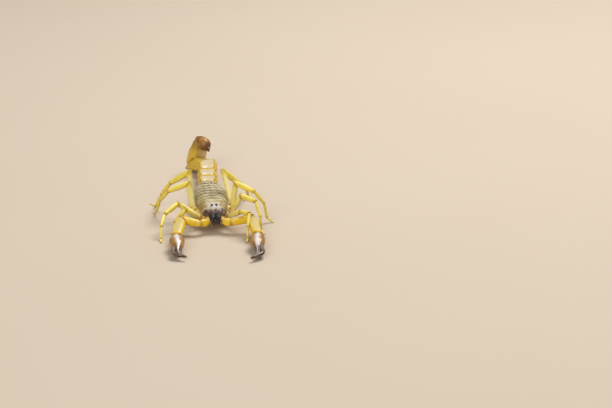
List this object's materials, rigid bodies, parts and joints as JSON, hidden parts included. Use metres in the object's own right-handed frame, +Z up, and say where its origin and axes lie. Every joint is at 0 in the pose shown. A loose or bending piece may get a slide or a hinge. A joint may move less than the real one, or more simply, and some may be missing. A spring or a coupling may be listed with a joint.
{
  "type": "desert scorpion",
  "caption": "Desert scorpion standing on eight legs, pincers low in front and the thick tail curled up at its end.",
  "frame": {"origin": "on the floor under the middle of the outline, feet on z = 0", "axes": "+Z up; the animal faces -Y and its tail points to +Y; +X is its own left side"},
  "size_m": [0.0388, 0.095, 0.0165],
  "materials": {
    "shield_sand": "satin shell, finely grained",
    "eye_black": "wet gloss",
    "mouth_dark": "satin shell with a dark net pattern",
    "underside_cream": "satin shell",
    "arm_yellow": "satin shell, slightly clear",
    "claw_amber": "polished shell",
    "leg_yellow": "satin shell, slightly clear",
    "back_grey": "satin shell in grey bands",
    "tail_sand": "satin shell with beaded ridges",
    "telson_brown": "polished shell",
    "sting_dark": "polished shell"
  },
  "bodies": {
    "root": {"carapace": "shield_sand", "eye_median_left": "eye_black", "chelicera_left": "mouth_dark", "pectine_left": "underside_cream", "pedipalp_left_trochanter": "arm_yellow", "pedipalp_left_femur": "arm_yellow", "pedipalp_left_patella": "arm_yellow", "pedipalp_left_manus": "claw_amber", "pedipalp_left_movable_finger": "claw_amber", "leg_1_left_femur": "leg_yellow", "leg_1_left_patella": "leg_yellow", "leg_1_left_tibia": "leg_yellow", "leg_1_left_tarsus": "leg_yellow", "leg_2_left_femur": "leg_yellow", "leg_2_left_patella": "leg_yellow", "leg_2_left_tibia": "leg_yellow", "leg_2_left_tarsus": "leg_yellow", "leg_3_left_femur": "leg_yellow", "leg_3_left_patella": "leg_yellow", "leg_3_left_tibia": "leg_yellow", "leg_3_left_tarsus": "leg_yellow", "leg_4_left_femur": "leg_yellow", "leg_4_left_patella": "leg_yellow", "leg_4_left_tibia": "leg_yellow", "leg_4_left_tarsus": "leg_yellow", "eye_median_right": "eye_black", "chelicera_right": "mouth_dark", "pectine_right": "underside_cream", "pedipalp_right_trochanter": "arm_yellow", "pedipalp_right_femur": "arm_yellow", "pedipalp_right_patella": "arm_yellow", "pedipalp_right_manus": "claw_amber", "pedipalp_right_movable_finger": "claw_amber", "leg_1_right_femur": "leg_yellow", "leg_1_right_patella": "leg_yellow", "leg_1_right_tibia": "leg_yellow", "leg_1_right_tarsus": "leg_yellow", "leg_2_right_femur": "leg_yellow", "leg_2_right_patella": "leg_yellow", "leg_2_right_tibia": "leg_yellow", "leg_2_right_tarsus": "leg_yellow", "leg_3_right_femur": "leg_yellow", "leg_3_right_patella": "leg_yellow", "leg_3_right_tibia": "leg_yellow", "leg_3_right_tarsus": "leg_yellow", "leg_4_right_femur": "leg_yellow", "leg_4_right_patella": "leg_yellow", "leg_4_right_tibia": "leg_yellow", "leg_4_right_tarsus": "leg_yellow", "mesosoma": "back_grey", "coxal_region": "underside_cream", "metasoma_1": "tail_sand", "metasoma_2": "tail_sand", "metasoma_3": "tail_sand", "metasoma_4": "tail_sand", "metasoma_5": "tail_sand", "telson_vesicle": "telson_brown", "telson_aculeus": "sting_dark"}
  },
  "joints": []
}
